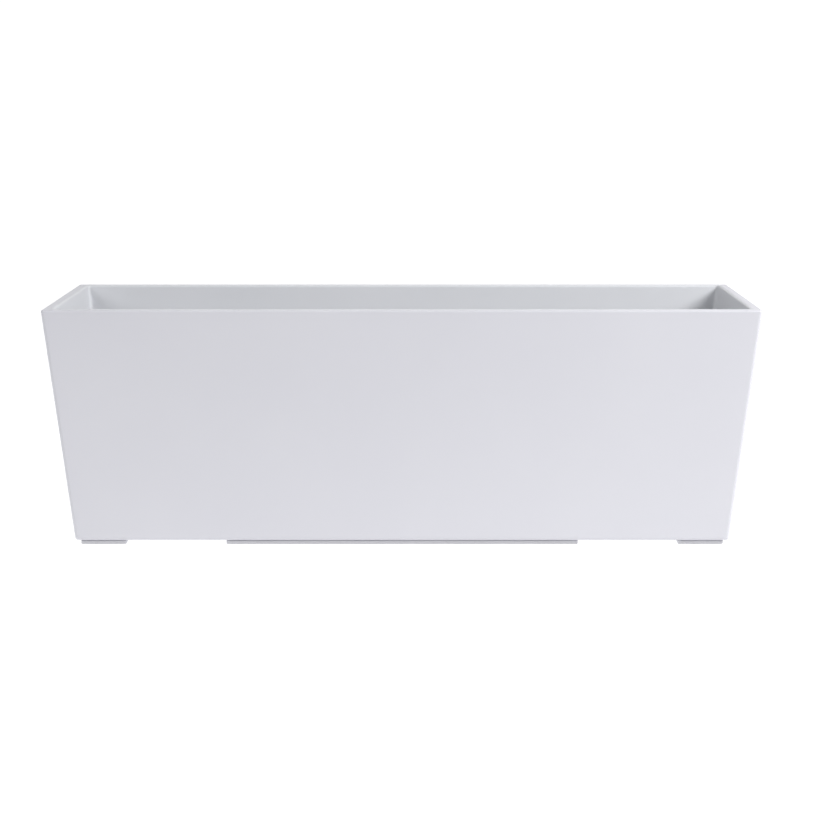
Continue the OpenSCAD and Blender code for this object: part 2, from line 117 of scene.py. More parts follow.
def shell_ring(z, inset, radius, draw_in=0.0):
    """A rounded rectangle round the trough at one height, anticlockwise from above."""
    half_x = half_length - lean(z) - inset
    half_y = half_width - lean(z) - inset
    points = []
    for quarter in range(4):
        side_x = 1 if quarter in (0, 3) else -1
        side_y = 1 if quarter < 2 else -1
        for step in range(corner_steps + 1):
            angle = math.radians(90 * (quarter + step / corner_steps))
            points.append([side_x * (half_x - radius) + radius * math.cos(angle),
                side_y * (half_y - radius) + radius * math.sin(angle), z])
        along_x = quarter in (0, 2)
        straight = (half_x if along_x else half_y) - radius
        full = (half_length if along_x else half_width) - 0.04
        for stop in side_stops(full):
            place = stop / full * straight
            edge = min((straight - abs(place)) / draw_in_reach, 1)
            inward = draw_in * math.sin(edge * math.pi / 2) ** 2
            if along_x:
                turn = -1 if quarter == 0 else 1
                points.append([turn * place, side_y * (half_y - inward), z])
            else:
                turn = -1 if quarter == 1 else 1
                points.append([side_x * (half_x - inward * 0.4), turn * place, z])
    return points


def loft(shape, rings):
    """Joins rings of points into a skin and returns the first and last rings' vertices."""
    first = previous = [shape.verts.new(point) for point in rings[0]]
    for ring in rings[1:]:
        current = [shape.verts.new(point) for point in ring]
        for k in range(len(ring)):
            n = (k + 1) % len(ring)
            shape.faces.new((previous[k], previous[n], current[n], current[k]))
        previous = current
    return first, previous


def rings_of_turning(profile, centre, steps=64):
    """Rings for a turned part, from (radius, height) pairs."""
    x, y = centre
    return [[(x + r * math.cos(2 * math.pi * k / steps), y + r * math.sin(2 * math.pi * k / steps), z)
        for k in range(steps)] for r, z in profile]


def fill_between(shape, *loops):
    """A flat face inside the first loop of vertices with a hole for each of the others."""
    edges = []
    for loop in loops:
        for k, vertex in enumerate(loop):
            ends = (vertex, loop[(k + 1) % len(loop)])
            edges.append(shape.edges.get(ends) or shape.edges.new(ends))
    bmesh.ops.triangle_fill(shape, edges=edges, use_beauty=True)


def quarter_turn(count):
    """Angles of a quarter turn, in equal steps."""
    return [math.radians(90 * k / count) for k in range(count + 1)]


def linear(hex_colour):
    """An sRGB hex colour as linear red, green, blue and an alpha of one."""
    parts = [int(hex_colour[k:k + 2], 16) / 255 for k in (1, 3, 5)]
    return [c / 12.92 if c <= 0.04045 else ((c + 0.055) / 1.055) ** 2.4 for c in parts] + [1.0]


def add_node(tree, kind, inputs=None, **settings):
    """Adds a node with its settings, and links or sets its inputs."""
    node = tree.nodes.new(kind)
    for key, value in settings.items():
        setattr(node, key, value)
    for socket, value in (inputs or {}).items():
        value = value.outputs[0] if isinstance(value, bpy.types.Node) else value
        if isinstance(value, bpy.types.NodeSocket):
            tree.links.new(value, node.inputs[socket])
        else:
            node.inputs[socket].default_value = value
    return node


def new_material(name):
    """A material, its empty tree, and the place on a piece that patterns are read at."""
    material = bpy.data.materials.new(name)
    material.use_nodes = True
    material.node_tree.nodes.clear()
    place = add_node(material.node_tree, "ShaderNodeTexCoord").outputs["Object"]
    return material, material.node_tree, place


def cloudy(tree, place, scale, detail, roughness=0.5):
    """A cloudy pattern at a scale."""
    return add_node(tree, "ShaderNodeTexNoise",
        {"Vector": place, "Scale": scale, "Detail": detail, "Roughness": roughness})


def between(tree, pattern, low, high):
    """A pattern spread between two values."""
    return add_node(tree, "ShaderNodeMapRange", {"Value": pattern, "To Min": low, "To Max": high})


def surface(tree, inputs):
    """Ends a material's tree in a surface with these inputs."""
    face = add_node(tree, "ShaderNodeBsdfPrincipled", inputs)
    add_node(tree, "ShaderNodeOutputMaterial", {"Surface": face})


def moulded_plastic(name, light, dark, roughness, grain_mm, grain_depth_mm, cloud_mm=90.0,
        spread=0.06):
    """A moulded plastic: cloudy pigment, a fine tool texture and an uneven sheen."""
    material, tree, place = new_material(name)
    cloud = cloudy(tree, place, 1000 / cloud_mm, 3.0, 0.55)
    tint = add_node(tree, "ShaderNodeMix", {0: cloud, 6: linear(dark), 7: linear(light)},
        data_type="RGBA")
    relief = add_node(tree, "ShaderNodeBump", {"Height": cloudy(tree, place, 1000 / grain_mm, 2.0),
        "Strength": 1.0, "Distance": grain_depth_mm / 1000})
    surface(tree, {"Base Color": tint.outputs[2], "Normal": relief,
        "Roughness": between(tree, cloud, roughness - spread, roughness + spread)})
    return material


def mesh_of(name, shape):
    """The mesh of a shape that needs no more work."""
    mesh = bpy.data.meshes.new(name)
    shape.to_mesh(mesh)
    shape.free()
    return mesh


def make_piece(name, shape, material, body, slot, *nodes):
    """Turns a shape into a finished piece on its body, in the place of its frame nodes."""
    bmesh.ops.recalc_face_normals(shape, faces=shape.faces)
    mesh = mesh_of(name, shape)
    mesh.shade_smooth()
    mesh.set_sharp_from_angle(angle=math.radians(32))
    mesh.materials.append(material)
    piece = put_in(name, mesh)
    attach(piece, body)
    if nodes:
        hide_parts(*nodes)


# Off-white polypropylene from a finely sparked tool: it reads as a soft, even satin. The grain
# is drawn at 1.3 mm, about twice its real size, so that it shows at all.
casing_plastic = moulded_plastic("satin_polypropylene_off_white", "#d4d4da", "#cfcfd6", 0.46,
    grain_mm=1.3, grain_depth_mm=0.010, cloud_mm=140)

lip_bevel = 0.0003
lip_corner = 0.0069
lip_low = rim_top - lip_depth
lip_taper = 2.5 * (lip_inset - casing_wall)
inner_corner = 0.0018
floor_fillet = 0.003
boss_radius, boss_top = 0.014, casing_floor + 0.016
seat_radius, seat_height = 0.0101, casing_floor + 0.002
drain_radius = 0.008
boss_edge = 0.001

outside = [shell_ring(base + base_edge * (1 - math.cos(a)), base_edge * (1 - math.sin(a)),
    corner_radius - base_edge * (1 - math.sin(a))) for a in quarter_turn(8)]
body_low, body_high = base + base_edge, rim_top - rim_edge
for share in (0.006, 0.06, 0.14, 0.24, 0.36, 0.48, 0.6, 0.72, 0.82, 0.9, 0.96, 0.994):
    bow = wall_draw_in * math.sin(math.pi * share) ** 1.5
    outside.append(shell_ring(body_low + share * (body_high - body_low), 0, corner_radius, bow))
outside += [shell_ring(rim_top - rim_edge * (1 - math.sin(a)), rim_edge * (1 - math.cos(a)),
    corner_radius - rim_edge * (1 - math.cos(a))) for a in quarter_turn(7)]
inside = [shell_ring(rim_top, rim_edge + 0.0004, corner_radius - rim_edge),
    shell_ring(rim_top, lip_inset - lip_bevel - 0.0004, lip_corner + lip_bevel)]
inside += [shell_ring(rim_top - lip_bevel * (1 - math.cos(a)),
    lip_inset - lip_bevel * (1 - math.sin(a)), lip_corner + lip_bevel * (1 - math.sin(a)))
    for a in quarter_turn(3)]
inside += [shell_ring(lip_low, lip_inset, lip_corner),
    shell_ring(lip_low - lip_taper, casing_wall, inner_corner),
    shell_ring(0.14, casing_wall, inner_corner),
    shell_ring(casing_floor + floor_fillet, casing_wall, inner_corner)]
inside += [shell_ring(casing_floor + floor_fillet * (1 - math.sin(a)),
    casing_wall + floor_fillet * (1 - math.cos(a)), inner_corner) for a in quarter_turn(5)[1:]]
casing = bmesh.new()
underside_edge, floor_edge = loft(casing, outside + inside)
boss = [(boss_radius + boss_edge, casing_floor)]
boss += [(boss_radius + boss_edge * (1 - math.sin(a)), casing_floor + boss_edge * (1 - math.cos(a)))
    for a in quarter_turn(3)]
boss += [(boss_radius - boss_edge * (1 - math.cos(a)), boss_top - boss_edge * (1 - math.sin(a)))
    for a in quarter_turn(4)]
boss += [(seat_radius + 0.0004, boss_top), (seat_radius, boss_top - 0.0004),
    (seat_radius, seat_height), (drain_radius, seat_height), (drain_radius, base + 0.0006),
    (drain_radius + 0.0006, base)]
boss_foot, drain_mouth = loft(casing, rings_of_turning(boss[1:], (0, 0)))
fill_between(casing, floor_edge, boss_foot)
fill_between(casing, underside_edge, drain_mouth)
make_piece("casing", casing, casing_plastic, "casing", "casing_plastic", "outer_casing")

# ---------------------------------------------------------------------------------------------
# Ribs under the casing's floor, moulded with it: a row of low cross ribs that keeps the wide
# base flat. They stop just short of the runners and stand clear of the ground.
# ---------------------------------------------------------------------------------------------
rib_height, rib_width = 0.0022, 0.0022
drain_clear = 0.010


def convert(piece):
    """The evaluated mesh of a piece, as plain data."""
    graph = bpy.context.evaluated_depsgraph_get()
    return bpy.data.meshes.new_from_object(piece.evaluated_get(graph), depsgraph=graph)


def new_tree(name, **sizes):
    """An empty geometry tree with named inputs for its sizes and its finish."""
    tree = bpy.data.node_groups.new(name, "GeometryNodeTree")
    for size, kind in (*sizes.items(), ("Finish", "Material")):
        tree.interface.new_socket(size.replace("_", " "), in_out="INPUT",
            socket_type="NodeSocket" + kind)
    tree.interface.new_socket("Geometry", in_out="OUTPUT", socket_type="NodeSocketGeometry")
    return tree, add_node(tree, "NodeGroupInput").outputs


def close_tree(tree, geometry, finish):
    """Ends a tree in real geometry with its finish on it."""
    real = add_node(tree, "GeometryNodeRealizeInstances", {"Geometry": geometry})
    faced = add_node(tree, "GeometryNodeSetMaterial", {"Geometry": real, "Material": finish})
    add_node(tree, "NodeGroupOutput", {0: faced})


def grow(tree, values):
    """The plain mesh that a tree gives with these input values."""
    holder = put_in("holder", bpy.data.meshes.new("holder"))
    modifier = holder.modifiers.new("shape", "NODES")
    modifier.node_group = tree
    for item in tree.interface.items_tree:
        if item.in_out == "INPUT" and item.name in values:
            modifier[item.identifier] = values[item.name]
    mesh = convert(holder)
    bpy.data.objects.remove(holder)
    return mesh


def add_mesh(shape, mesh, move=(0, 0, 0), turned=Matrix()):
    """Adds a mesh to a shape, turned and then moved."""
    copy = mesh.copy()
    copy.transform(Matrix.Translation(move) @ turned)
    shape.from_mesh(copy)
    bpy.data.meshes.remove(copy)


def maths(tree, operation, *values):
    """One operation on one or two values."""
    return add_node(tree, "ShaderNodeMath", dict(enumerate(values)), operation=operation)


rib_tree, sizes = new_tree("cross_ribs", Count="Int", Pitch="Float", Rib="Vector")
one_rib = add_node(rib_tree, "GeometryNodeMeshCube", {"Size": sizes["Rib"]})
reach = maths(rib_tree, "SUBTRACT", sizes["Count"], 1.0)
half_row = maths(rib_tree, "MULTIPLY", reach, sizes["Pitch"])
start = maths(rib_tree, "MULTIPLY", half_row, -0.5)
first = add_node(rib_tree, "ShaderNodeCombineXYZ", {"X": start})
step = add_node(rib_tree, "ShaderNodeCombineXYZ", {"X": sizes["Pitch"]})
row = add_node(rib_tree, "GeometryNodeMeshLine",
    {"Count": sizes["Count"], "Start Location": first, "Offset": step})
ribs = add_node(rib_tree, "GeometryNodeInstanceOnPoints", {"Points": row, "Instance": one_rib})
close_tree(rib_tree, ribs, sizes["Finish"])

rib_span = 2 * abs(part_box("front_runner")[1][1]) - 0.004
cross = grow(rib_tree, {"Count": 15, "Pitch": 0.034, "Rib": (rib_width, rib_span, rib_height),
    "Finish": casing_plastic})
base_ribs = bmesh.new()
add_mesh(base_ribs, cross, (0, 0, base - rib_height / 2 + 0.0002))
round_the_drain = [v for v in base_ribs.verts if abs(v.co.x) < drain_clear]
bmesh.ops.delete(base_ribs, geom=round_the_drain, context="VERTS")
make_piece("base_ribs", base_ribs, casing_plastic, "casing", "casing_plastic")

# ---------------------------------------------------------------------------------------------
# Six feet, moulded in the same plastic a shade greyer and pushed onto pegs under the floor:
# four square pads under the corners and two long runners between them. A neck leaves a thin
# shadow under the floor, the sides are drafted, and small studs underneath grip the ground.
# ---------------------------------------------------------------------------------------------
foot_plastic = moulded_plastic("satin_polypropylene_foot", "#d9d9dd", "#d3d3d8", 0.5, grain_mm=1.3,
    grain_depth_mm=0.012)
foot_draft, foot_edge, stud_rise = 0.0005, 0.0005, 0.0004
neck_height, neck_inset, seat_gap = 0.0018, 0.0020, 0.0001

stud_tree, sizes = new_tree("grip_studs", Length="Float", Depth="Float", Along="Int", Across="Int",
    Stud_Radius="Float", Stud_Rise="Float")
grid = add_node(stud_tree, "GeometryNodeMeshGrid",
    {"Size X": sizes["Length"], "Size Y": sizes["Depth"], "Vertices X": sizes["Along"],
    "Vertices Y": sizes["Across"]})
narrow = maths(stud_tree, "MULTIPLY", sizes["Stud Radius"], 0.6)
stud = add_node(stud_tree, "GeometryNodeMeshCone",
    {"Vertices": 12, "Radius Top": sizes["Stud Radius"], "Radius Bottom": narrow,
    "Depth": sizes["Stud Rise"]})
studs = add_node(stud_tree, "GeometryNodeInstanceOnPoints", {"Points": grid, "Instance": stud})
close_tree(stud_tree, studs, sizes["Finish"])


def arc(centre, radius, start, end, steps):
    """Points along an arc round a centre, between two angles in degrees."""
    angles = [math.radians(start + (end - start) * k / steps) for k in range(steps + 1)]
    return [(centre[0] + radius * math.cos(a), centre[1] + radius * math.sin(a)) for a in angles]


def pad_ring(low, high, inset, radius, z):
    """A rounded rectangle for a foot at one height."""
    points, back = [], inset + radius
    for x, y, start in ((high[0] - back, high[1] - back, 0), (low[0] + back, high[1] - back, 90),
            (low[0] + back, low[1] + back, 180), (high[0] - back, low[1] + back, 270)):
        points += [(*point, z) for point in arc((x, y), radius, start, start + 90, 6)]
    return points


feet = {"front_left_pad": "front_left_foot", "front_right_pad": "front_right_foot",
    "rear_left_pad": "rear_left_foot", "rear_right_pad": "rear_right_foot",
    "front_long_pad": "front_runner", "rear_long_pad": "rear_runner"}
for name, foot in feet.items():
    low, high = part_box(foot)
    sole = low[2] + stud_rise
    rings = [pad_ring(low, high, foot_draft + foot_edge * (1 - math.sin(a)), 0.0025,
        sole + foot_edge * (1 - math.cos(a))) for a in quarter_turn(4)]
    rings += [pad_ring(low, high, foot_draft * 0.93, 0.0025, sole + foot_edge + 0.0003),
        pad_ring(low, high, 0.0003, 0.0038, high[2] - neck_height - 0.0004),
        pad_ring(low, high, 0.0006, 0.0036, high[2] - neck_height),
        pad_ring(low, high, neck_inset, 0.0025, high[2] - neck_height + 0.0001),
        pad_ring(low, high, neck_inset, 0.0025, high[2] - seat_gap)]
    pad = bmesh.new()
    sole_edge, top_edge = loft(pad, rings)
    pad.faces.new(list(reversed(sole_edge)))
    pad.faces.new(top_edge)
    length, depth = high[0] - low[0], high[1] - low[1]
    pitch = 0.0075
    studs = grow(stud_tree, {"Length": length - 0.012, "Depth": depth - 0.012,
        "Along": int((length - 0.012) / pitch) + 1, "Across": int((depth - 0.012) / pitch) + 1,
        "Stud Radius": 0.0018, "Stud Rise": stud_rise, "Finish": foot_plastic})
    add_mesh(pad, studs, ((low[0] + high[0]) / 2, (low[1] + high[1]) / 2, low[2]))
    make_piece(name, pad, foot_plastic, "casing", "foot_plastic", foot)

# ---------------------------------------------------------------------------------------------
# The overflow pipe is a short length of grey pipe stood in the boss over the drain. Water above
# its notched top runs away through it, so it sets the highest level in the casing.
# ---------------------------------------------------------------------------------------------
pipe_plastic = moulded_plastic("extruded_pvc_grey", "#b4b6bb", "#aeb0b6", 0.4, grain_mm=0.9,
    grain_depth_mm=0.006, cloud_mm=40)


def dress(node, material):
    """Gives a piece carried over from the frame its finish."""
    slots = frame["nodes"][node].data.materials
    slots.clear()
    slots.append(material)


dress("overflow_pipe", pipe_plastic)

# ---------------------------------------------------------------------------------------------
# The drain bung is a dark push-in stopper with a ribbed head and a finger bar across it, so it
# can be pulled from below. A rubber ring in its groove makes the seal.
# ---------------------------------------------------------------------------------------------
bung_plastic = moulded_plastic("moulded_nylon_charcoal", "#4b4e53", "#43464b", 0.45, grain_mm=0.8,
    grain_depth_mm=0.01, cloud_mm=18)
seal_rubber = moulded_plastic("nitrile_rubber_black", "#1d1e20", "#17181a", 0.62, grain_mm=0.5,
    grain_depth_mm=0.008, cloud_mm=6)


def rounded(corners, edge, steps=3, closed=False):
    """A profile of (radius, height) corners with their edges taken off."""
    profile, count = [], len(corners)
    for k, corner in enumerate(corners):
        here = Vector(corner)
        if not closed and k in (0, count - 1) or here.x < 1e-6:
            profile.append(tuple(here))
            continue
        before, after = Vector(corners[k - 1]) - here, Vector(corners[(k + 1) % count]) - here
        cut = min(edge, before.length * 0.45, after.length * 0.45)
        start, end = here + before.normalized() * cut, here + after.normalized() * cut
        for step in range(steps + 1):
            t = step / steps
            profile.append(tuple((1 - t) ** 2 * start + 2 * t * (1 - t) * here + t * t * end))
    return profile


def turn(shape, profile, centre, steps=64, along="Z", closed=False, change=None):
    """Turns a profile round an axis through a centre, with poles where its radius is nothing."""
    rows = []
    for r, h in profile:
        row = []
        for k in range(steps if r > 1e-6 else 1):
            angle = 2 * math.pi * k / steps
            across, up = r * math.cos(angle), r * math.sin(angle)
            height = change(angle, r, h) if change else h
            row.append(shape.verts.new((centre[0] + across, centre[1] + up, height) if along == "Z"
                else (centre[0] + across, height, centre[1] + up)))
        rows.append(row)
    for a, b in zip(rows, rows[1:] + rows[:1] if closed else rows[1:]):
        for k in range(steps):
            n = (k + 1) % steps
            if len(a) > 1 and len(b) > 1:
                shape.faces.new((a[k], a[n], b[n], b[k]))
            elif len(b) > 1:
                shape.faces.new((a[0], b[n], b[k]))
            elif len(a) > 1:
                shape.faces.new((a[k], a[n], b[0]))


def add_shape(shape, other):
    """Adds one shape to another where it stands."""
    mesh = mesh_of("part", other)
    add_mesh(shape, mesh)
    bpy.data.meshes.remove(mesh)


def bar(shape, low, high, edge, steps=2):
    """A straight bar between two corners with softened edges."""
    block = bmesh.new()
    bmesh.ops.create_cube(block, size=1)
    for vertex in block.verts:
        for axis in range(3):
            vertex.co[axis] = low[axis] if vertex.co[axis] < 0 else high[axis]
    bmesh.ops.bevel(block, geom=block.edges[:], offset=edge, segments=steps, affect="EDGES",
        profile=0.5)
    add_shape(shape, block)


def stand_in_a_ring(tree, count, shape_out):
    """Copies of a shape that stands off the axis, turned evenly round it."""
    spots = add_node(tree, "GeometryNodePoints", {"Count": count})
    number = add_node(tree, "GeometryNodeInputIndex")
    share = maths(tree, "DIVIDE", 2 * math.pi, count)
    angle = maths(tree, "MULTIPLY", number, share)
    facing = add_node(tree, "ShaderNodeCombineXYZ", {"Z": angle})
    return add_node(tree, "GeometryNodeInstanceOnPoints",
        {"Points": spots, "Instance": shape_out, "Rotation": facing})


ridge_tree, sizes = new_tree("ridges_round_a_rim", Count="Int", Ring_Radius="Float", Ridge="Vector")
ridge = add_node(ridge_tree, "GeometryNodeMeshCube", {"Size": sizes["Ridge"]})
off_axis = add_node(ridge_tree, "ShaderNodeCombineXYZ", {"X": sizes["Ring Radius"]})
on_rim = add_node(ridge_tree, "GeometryNodeTransform", {"Geometry": ridge, "Translation": off_axis})
close_tree(ridge_tree, stand_in_a_ring(ridge_tree, sizes["Count"], on_rim), sizes["Finish"])

bung_low, bung_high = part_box("drain_bung")
head_radius, head_under = bung_high[0], base - 0.0025
shank, groove, hollow = 0.0077, 0.0056, 0.0052
bung = bmesh.new()
turn(bung, rounded([(0, head_under), (head_radius - 0.0005, head_under),
    (head_radius - 0.0005, base - seat_gap), (shank, base - seat_gap), (shank, base + 0.00175),
    (groove, base + 0.00175), (groove, base + 0.00425), (shank, base + 0.00425),
    (shank, bung_high[2]), (hollow, bung_high[2]), (hollow, base + 0.0054), (0, base + 0.0054)],
    0.0005), (0, 0), 48)
bar(bung, (-0.011, -0.0015, bung_low[2]), (0.011, 0.0015, head_under + 0.0003), 0.0004)
grips = grow(ridge_tree, {"Count": 36, "Ring Radius": head_radius - 0.0006,
    "Ridge": (0.0011, 0.0010, 0.0017), "Finish": bung_plastic})
add_mesh(bung, grips, (0, 0, base - 0.00125))
make_piece("bung", bung, bung_plastic, "bung", "bung_plastic", "drain_bung")
dress("bung_seal", seal_rubber)

# ---------------------------------------------------------------------------------------------
# The grow liner is a thin moulded tub in the same off-white as the casing. It drops in flush with
# the rim, stands on hollow legs, and carries the ears for its handles and the clips for the two
# upright tubes. Its floor is pierced for the baskets, the tubes and drainage.
# ---------------------------------------------------------------------------------------------
liner_plastic = moulded_plastic("satin_polypropylene_liner", "#d9dade", "#d4d6da", 0.48, grain_mm=1.3,
    grain_depth_mm=0.010, cloud_mm=120)
liner_inset, band = 0.0095, 0.012
liner_corner, inner_edge, top_bevel = 0.004, 0.0019, 0.0003
liner_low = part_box("wick_basket_1")[1][2] - 0.005
liner_floor = liner_low + 0.003
outer_corner = liner_corner + band - liner_inset


def circle(centre, radius, count):
    """Points evenly round a circle."""
    return arc(centre, radius, 0, 360 - 360 / count, count - 1)


def plate(shape, outline, holes, along, low, high, edge):
    """A flat plate of an outline, with round holes, between two places along Y or Z."""
    slab = bmesh.new()
    place = (lambda a, b, h: (a, h, b)) if along == "Y" else (lambda a, b, h: (a, b, h))
    loops = [outline] + [circle((x, y), r, 32) for x, y, r in holes]
    sides = []
    for h in (low, high):
        sides.append([[slab.verts.new(place(a, b, h)) for a, b in loop] for loop in loops])
        fill_between(slab, *sides[-1])
    walls = []
    for near, far in zip(*sides):
        for k in range(len(near)):
            n = (k + 1) % len(near)
            walls.append(slab.faces.new((near[k], near[n], far[n], far[k])))
    bmesh.ops.recalc_face_normals(slab, faces=slab.faces)
    rims = [e for e in slab.edges if len(e.link_faces) == 2 and e.calc_face_angle(0) > 1.0]
    bmesh.ops.bevel(slab, geom=rims, offset=edge, segments=2, affect="EDGES", profile=0.5)
    add_shape(shape, slab)


liner_walls = [shell_ring(liner_low + 0.002 * (1 - math.cos(a)),
    liner_inset + 0.002 * (1 - math.sin(a)), outer_corner - 0.002 * (1 - math.sin(a)))
    for a in quarter_turn(4)]
liner_walls += [shell_ring(liner_low + 0.003, liner_inset, outer_corner),
    shell_ring(0.16, liner_inset, outer_corner),
    shell_ring(rim_top - 0.001, liner_inset, outer_corner)]
liner_walls += [shell_ring(rim_top - top_bevel * (1 - math.sin(a)),
    liner_inset + top_bevel * (1 - math.cos(a)), outer_corner - top_bevel * (1 - math.cos(a)))
    for a in quarter_turn(3)]
liner_walls += [shell_ring(rim_top - inner_edge * (1 - math.cos(a)),
    band - inner_edge * (1 - math.sin(a)), liner_corner + inner_edge * (1 - math.sin(a)))
    for a in quarter_turn(6)]
liner_walls += [shell_ring(rim_top - inner_edge - 0.0012, band, liner_corner)]
liner_walls += [shell_ring(z, band, liner_corner, -0.0003 * math.sin(math.pi * (z - 0.073) / 0.187))
    for z in (0.245, 0.23, 0.21, 0.18, 0.15, 0.12, 0.09)]
liner_walls += [shell_ring(liner_floor + 0.003 * (1 - math.sin(a)), band + 0.003 * (1 - math.cos(a)),
    liner_corner) for a in quarter_turn(4)]
liner = bmesh.new()
under_edge, bed_edge = loft(liner, liner_walls)

gauge_low, gauge_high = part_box("gauge_float")
gauge_at = ((gauge_low[0] + gauge_high[0]) / 2, (gauge_low[1] + gauge_high[1]) / 2)
fill_at = (-gauge_at[0], gauge_at[1])
baskets = ["wick_basket_%d" % k for k in (1, 2, 3, 4)]
basket_at = [((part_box(b)[0][0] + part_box(b)[1][0]) / 2, 0.0) for b in baskets]
basket_pitch = basket_at[1][0] - basket_at[0][0]
tops, bottoms = [bed_edge], [under_edge]
throat_radius, fill_radius, gauge_radius = 0.030, 0.017, 0.013
holes = [(at, throat_radius) for at in basket_at] + [(fill_at, fill_radius), (gauge_at, gauge_radius)]
for (x, y), inner in holes:
    radius = inner + seat_gap
    wall = [(radius + 0.0005, liner_floor), (radius, liner_floor - 0.0005), (radius, liner_low)]
    upper, lower = loft(liner, rings_of_turning(wall, (x, y), 48))
    tops.append(upper)
    bottoms.append(lower)
slot_length, slot_half = basket_pitch * 0.3, 0.002
for slot_x in (-basket_pitch, 0, basket_pitch):
    for slot_y in (-0.030, -0.010, 0.010, 0.030):
        end = slot_length / 2 - slot_half
        outline = arc((slot_x + end, slot_y), slot_half, -90, 90, 8)
        outline += arc((slot_x - end, slot_y), slot_half, 90, 270, 8)
        upper, lower = loft(liner, [[(x, y, liner_floor) for x, y in outline],
            [(x, y, liner_low) for x, y in outline]])
        tops.append(upper)
        bottoms.append(lower)
fill_between(liner, *tops)
fill_between(liner, *bottoms)


def join(tree, *parts):
    """Several parts of a tree as one."""
    together = add_node(tree, "GeometryNodeJoinGeometry")
    for part in parts:
        tree.links.new(part.outputs[0], together.inputs[0])
    return together


leg_tree, sizes = new_tree("hollow_legs", Along="Float", Across="Float", Leg_Radius="Float",
    Leg_Section="Vector", Fin="Vector")
stands = add_node(leg_tree, "GeometryNodeMeshGrid",
    {"Size X": sizes["Along"], "Size Y": sizes["Across"], "Vertices X": 3, "Vertices Y": 2})
section = add_node(leg_tree, "ShaderNodeSeparateXYZ", {0: sizes["Leg Section"]})
ring_path = add_node(leg_tree, "GeometryNodeCurvePrimitiveCircle",
    {"Resolution": 40, "Radius": sizes["Leg Radius"]})
tube_section = add_node(leg_tree, "GeometryNodeCurvePrimitiveQuadrilateral",
    {"Width": section.outputs["X"], "Height": section.outputs["Z"]})
leg_tube = add_node(leg_tree, "GeometryNodeCurveToMesh",
    {"Curve": ring_path, "Profile Curve": tube_section})
fin = add_node(leg_tree, "GeometryNodeMeshCube", {"Size": sizes["Fin"]})
fin_turned = add_node(leg_tree, "GeometryNodeTransform",
    {"Geometry": fin, "Rotation": (0, 0, math.pi / 2)})
one_leg = join(leg_tree, leg_tube, fin, fin_turned)
legs = add_node(leg_tree, "GeometryNodeInstanceOnPoints", {"Points": stands, "Instance": one_leg})
close_tree(leg_tree, legs, sizes["Finish"])
leg_height = liner_low - casing_floor
leg_y = half_width - lean(casing_floor) - casing_wall - 0.030
leg_mesh = grow(leg_tree, {"Along": 2 * basket_pitch, "Across": 2 * leg_y, "Leg Radius": 0.009,
    "Leg Section": (0.002, 0.0, leg_height + 0.001), "Fin": (0.0165, 0.0016, leg_height - 0.004),
    "Finish": liner_plastic})
add_mesh(liner, leg_mesh, (0, 0, casing_floor + leg_height / 2 + 0.0005))

wall_slope = math.atan(lean_in / (rim_top - base))
rib_out, rib_from, rib_to = 0.0014, liner_floor + 0.004, liner_floor + 0.110
wall_ribs = grow(rib_tree, {"Count": 9, "Pitch": 0.076, "Finish": liner_plastic,
    "Rib": (0.0018, 2 * rib_out, (rib_to - rib_from) / math.cos(wall_slope))})
rib_middle = (rib_from + rib_to) / 2
rib_y = half_width - lean(rib_middle) - liner_inset
for way in (-1, 1):
    add_mesh(liner, wall_ribs, (0, way * rib_y, rib_middle),
        Matrix.Rotation(-way * wall_slope, 4, "X"))

joints = {joint["name"]: joint for joint in frame["joints"]}
pivot_x, _, pivot_z = joints["right_handle_swing"]["pos_m"]
handle_low, handle_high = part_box("right_handle")
ear_face, ear_thick, ear_radius, pin_hole = handle_high[1], 0.005, 0.007, 0.00305
for side in (-1, 1):
    wall_x = half_length - lean(pivot_z - ear_radius) - band + 0.0012
    round_end = [(side * x, z) for x, z in arc((pivot_x, pivot_z), ear_radius, 90, 270, 15)]
    tail = [(side * wall_x, pivot_z - ear_radius), (side * wall_x, pivot_z + ear_radius)]
    for way in (-1, 1):
        faces = sorted((way * ear_face, way * (ear_face - ear_thick)))
        plate(liner, round_end + tail, [(side * pivot_x, pivot_z, pin_hole)], "Y", *faces, 0.0006)
clip_low = rim_top - 0.091
for at, tube_radius in ((fill_at, fill_radius), (gauge_at, gauge_radius)):
    grip, back = tube_radius + seat_gap, tube_radius + 0.0023
    reach = half_width - lean(clip_low) - band + 0.001
    outer_right = arc(at, back, -28, 56, 14)
    outer_left = [(2 * at[0] - x, y) for x, y in reversed(outer_right)]
    inner_side = arc(at, grip, 208, -26, 39)
    web = [(at[0] + back / 2, reach), (at[0] - back / 2, reach)]
    plate(liner, outer_right + web + outer_left + inner_side, [], "Z", clip_low, clip_low + 0.010,
        0.0005)
make_piece("liner", liner, liner_plastic, "liner", "liner_plastic", "grow_liner")

# ---------------------------------------------------------------------------------------------
# Four wick baskets in grey plastic hang by their collars in the liner's floor. Packed with soil,
# they stand in the water and draw it up. Their sides are staves with open slots between them,
# tied by hoops, over a pierced foot.
# ---------------------------------------------------------------------------------------------
basket_plastic = moulded_plastic("moulded_polypropylene_grey", "#8a8d93", "#7f8289", 0.44,
    grain_mm=0.9, grain_depth_mm=0.012, cloud_mm=30)
basket_low, basket_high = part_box("wick_basket_1")
foot_radius, basket_wall, collar = 0.024, 0.002, 0.035
slot_low, slot_high = basket_low[2] + 0.010, liner_low - 0.010

